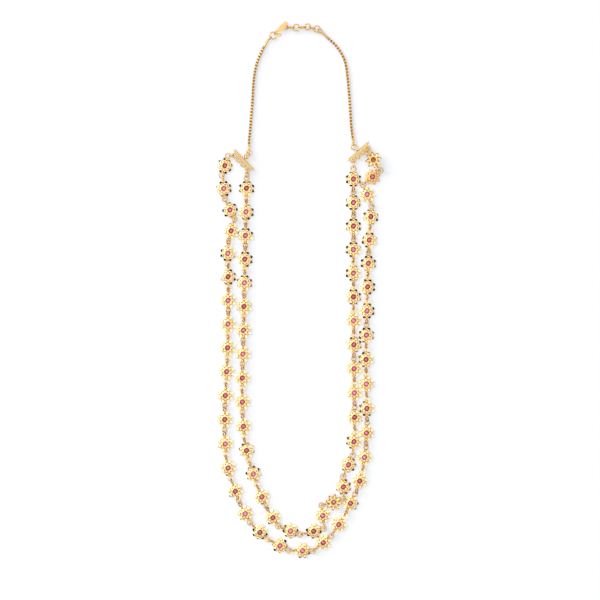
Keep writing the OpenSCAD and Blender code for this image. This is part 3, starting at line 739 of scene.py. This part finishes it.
petal_gold = metal("petal_gold_satin", (0.96, 0.76, 0.42), (0.9, 0.64, 0.28), 0.33, 420.0, 0.25)
# Gold of the dull flower: rougher metal, and a darker orange that is painted shade
dull_shaded_gold = metal("dull_orange_gold_painted_shade", (0.92, 0.63, 0.28), (0.84, 0.53, 0.2), 0.5, 420.0, 0.25)
cut_gold = metal("diamond_cut_gold", (0.95, 0.77, 0.43), (0.9, 0.69, 0.33), 0.1, 600.0, 0.02, 0.02)
cup_gold = metal("cup_gold_burnished", (0.93, 0.67, 0.31), (0.82, 0.52, 0.2), 0.3, 700.0, 0.2)
wire_gold = metal("wire_gold_polished", (0.98, 0.74, 0.34), (0.92, 0.62, 0.22), 0.3, 500.0, 0.12)
loop_gold = metal("loop_gold_deep", (0.9, 0.54, 0.15), (0.76, 0.38, 0.07), 0.14, 900.0, 0.12)
link_gold = metal("link_gold_polished", (0.9, 0.58, 0.19), (0.8, 0.45, 0.11), 0.22, 700.0, 0.12)
ring_gold = metal("ring_gold_polished", (0.92, 0.62, 0.24), (0.83, 0.5, 0.15), 0.18, 500.0, 0.12)
cap_gold = metal("cap_gold_brushed", (0.88, 0.58, 0.2), (0.8, 0.47, 0.12), 0.36, 500.0, 0.12)
bar_gold = metal("bar_gold_polished", (0.94, 0.68, 0.29), (0.8, 0.49, 0.16), 0.22, 560.0, 0.3)
chain_gold = metal("chain_gold_polished", (0.85, 0.56, 0.21), (0.78, 0.46, 0.14), 0.42, 900.0, 0.12)
# Darker gold of the chain's slanted corners, ends, insides and core: painted shade where the openings look
# dark
painted_shade_gold = metal(
    "chain_gold_painted_shade", (0.52, 0.25, 0.05), (0.38, 0.16, 0.026), 0.5, 900.0, 0.12)
ruby = gem("pink_ruby")

# The pieces: (strand, side, route, poses, first flower, last flower, facet slopes)
metals = [petal_gold, cut_gold, wire_gold, dull_shaded_gold, loop_gold, cup_gold]
outer_slopes, inner_slopes = leaning(OUTER_LEAN), leaning(INNER_LEAN)
STRINGS = [
    ("outer", "left", OUTER_ROUTE, OUTER_POSE, 1, 19, outer_slopes),
    ("outer", "right", OUTER_ROUTE, OUTER_POSE, 20, 37, outer_slopes),
    ("inner", "left", INNER_ROUTE, INNER_POSE, 1, 16, inner_slopes),
    ("inner", "right", INNER_ROUTE, INNER_POSE, 17, 33, inner_slopes)]
for strand, side, route, poses, first, last, slopes in STRINGS:
    flowers = flower_string(f"{strand}_petal_flowers_{side}", route, poses, first, last, slopes, metals)
    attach(flowers, "root")
    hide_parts(f"{strand}_flowers_{side}")
    stones = stone_string(f"{strand}_cut_stones_{side}", route, poses, first, last, ruby)
    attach(stones, "root")
    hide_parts(f"{strand}_stones_{side}")
for side, route, pitch in (("left", LEFT_CHAIN, 0.92), ("right", RIGHT_CHAIN, 0.96)):
    chain = box_chain(f"{side}_box_chain", route, pitch, [chain_gold, painted_shade_gold])
    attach(chain, "root")
    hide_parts(f"{side}_chain")
for side, at, turn in (("left", LEFT_BAR, LEFT_BAR_TURN), ("right", RIGHT_BAR, RIGHT_BAR_TURN)):
    bar = end_bar(f"{side}_rail_and_lobes", at, turn, [bar_gold, wire_gold])
    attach(bar, "root")
    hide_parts(f"{side}_bar")
clasp = hook("bevelled_hook", bar_gold)
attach(clasp, "root")
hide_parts("hook")

# Rings, links and caps keep their CAD solids, and the inner ring has the links' gold
for node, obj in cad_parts.items():
    finish = link_gold
    if "cap" in node:
        finish = cap_gold
    elif "ring" in node and "inner" not in node:
        finish = ring_gold
    for slot in obj.material_slots:
        slot.material = finish

# Floor, light and camera, in metres
FLOOR_HALF, FLOOR_Z = 4.0, -0.00005
PAPER = (0.57, 0.575, 0.59)
PAPER_GLOW, GLOW_STRENGTH = (0.92, 0.95, 1.0), 0.36
BACKDROP = (0.66, 0.66, 0.67)
DOME = 1.55                          # strength of the room's light
ROOM = [                             # its colour by the sine of the height above the horizon
    (0.0, (0.018, 0.009, 0.003)), (0.42, (0.034, 0.018, 0.006)), (0.58, (0.13, 0.068, 0.024)),
    (0.69, (0.86, 0.87, 0.88)), (0.84, (0.95, 0.97, 0.98)), (1.0, (0.68, 0.69, 0.71))]
LAMPS = [                            # name, direction, width in degrees, strength, colour
    ("large_lamp", (0.62, -0.42, -1.0), 22, 0.85, (1.0, 0.97, 0.92)),
    ("side_lamp", (2.4, -1.3, -1.0), 55, 3.4, (1.0, 0.98, 0.96))]
LENS, SENSOR = 85.0, 36.0            # millimetres
CAMERA_AT = (0.00018, -0.00588, 0.85)


def stage_floor():
    """Pale paper just below the necklace, with a faint light of its own that keeps it white."""
    mesh = bpy.data.meshes.new("floor")
    corners = [(x * FLOOR_HALF, y * FLOOR_HALF, FLOOR_Z) for x, y in ((-1, -1), (1, -1), (1, 1), (-1, 1))]
    mesh.from_pydata(corners, [], [(0, 1, 2, 3)])
    floor = bpy.data.objects.new("floor", mesh)
    bpy.context.scene.collection.objects.link(floor)
    material, graph, shader = new_material("white_paper")
    shader["Base Color"].default_value = (*PAPER, 1)
    shader["Roughness"].default_value = 0.9
    shader["Specular IOR Level"].default_value = 0.1
    shader["Emission Color"].default_value = (*PAPER_GLOW, 1)
    shader["Emission Strength"].default_value = GLOW_STRENGTH
    mesh.materials.append(material)


def studio():
    """White dome above, dark room round the horizon, one large lamp up on the left that the metal mirrors,
    and a lower, very soft one on the same side that throws the wide pale shadows. Past the floor's edge the
    room is seen as pale as the floor."""
    world = bpy.data.worlds.new("studio")
    bpy.context.scene.world = world
    world.use_nodes = True
    graph = Graph(world.node_tree)
    background = world.node_tree.nodes["Background"].inputs
    direction = graph.add("ShaderNodeTexCoord", out="Generated")
    height = graph.add("ShaderNodeSeparateXYZ", {}, {0: direction}, "Z")
    room = graph.add("ShaderNodeValToRGB", {"stops": ROOM}, {"Fac": height}, "Color")
    seen = graph.add("ShaderNodeLightPath", out="Is Camera Ray")
    graph.feed(background["Color"], graph.mix(seen, room, (*BACKDROP, 1)))
    background["Strength"].default_value = DOME
    for name, towards, width, strength, color in LAMPS:
        lamp = bpy.data.lights.new(name, "SUN")
        lamp.angle, lamp.energy, lamp.color = math.radians(width), strength, color
        light = bpy.data.objects.new(name, lamp)
        light.rotation_euler = Vector(towards).to_track_quat("-Z", "Y").to_euler()
        light.visible_diffuse, light.visible_glossy = name == "side_lamp", name == "large_lamp"
        bpy.context.scene.collection.objects.link(light)


def camera():
    """Looks straight down; 360 mm of the floor fills the picture's width."""
    data = bpy.data.cameras.new("camera")
    data.lens, data.sensor_width, data.sensor_height, data.sensor_fit = LENS, SENSOR, SENSOR, "HORIZONTAL"
    cam = bpy.data.objects.new("camera", data)
    cam.location = CAMERA_AT
    bpy.context.scene.collection.objects.link(cam)
    bpy.context.scene.camera = cam


stage_floor()
studio()
camera()
bpy.context.scene.view_settings.view_transform = "Standard"
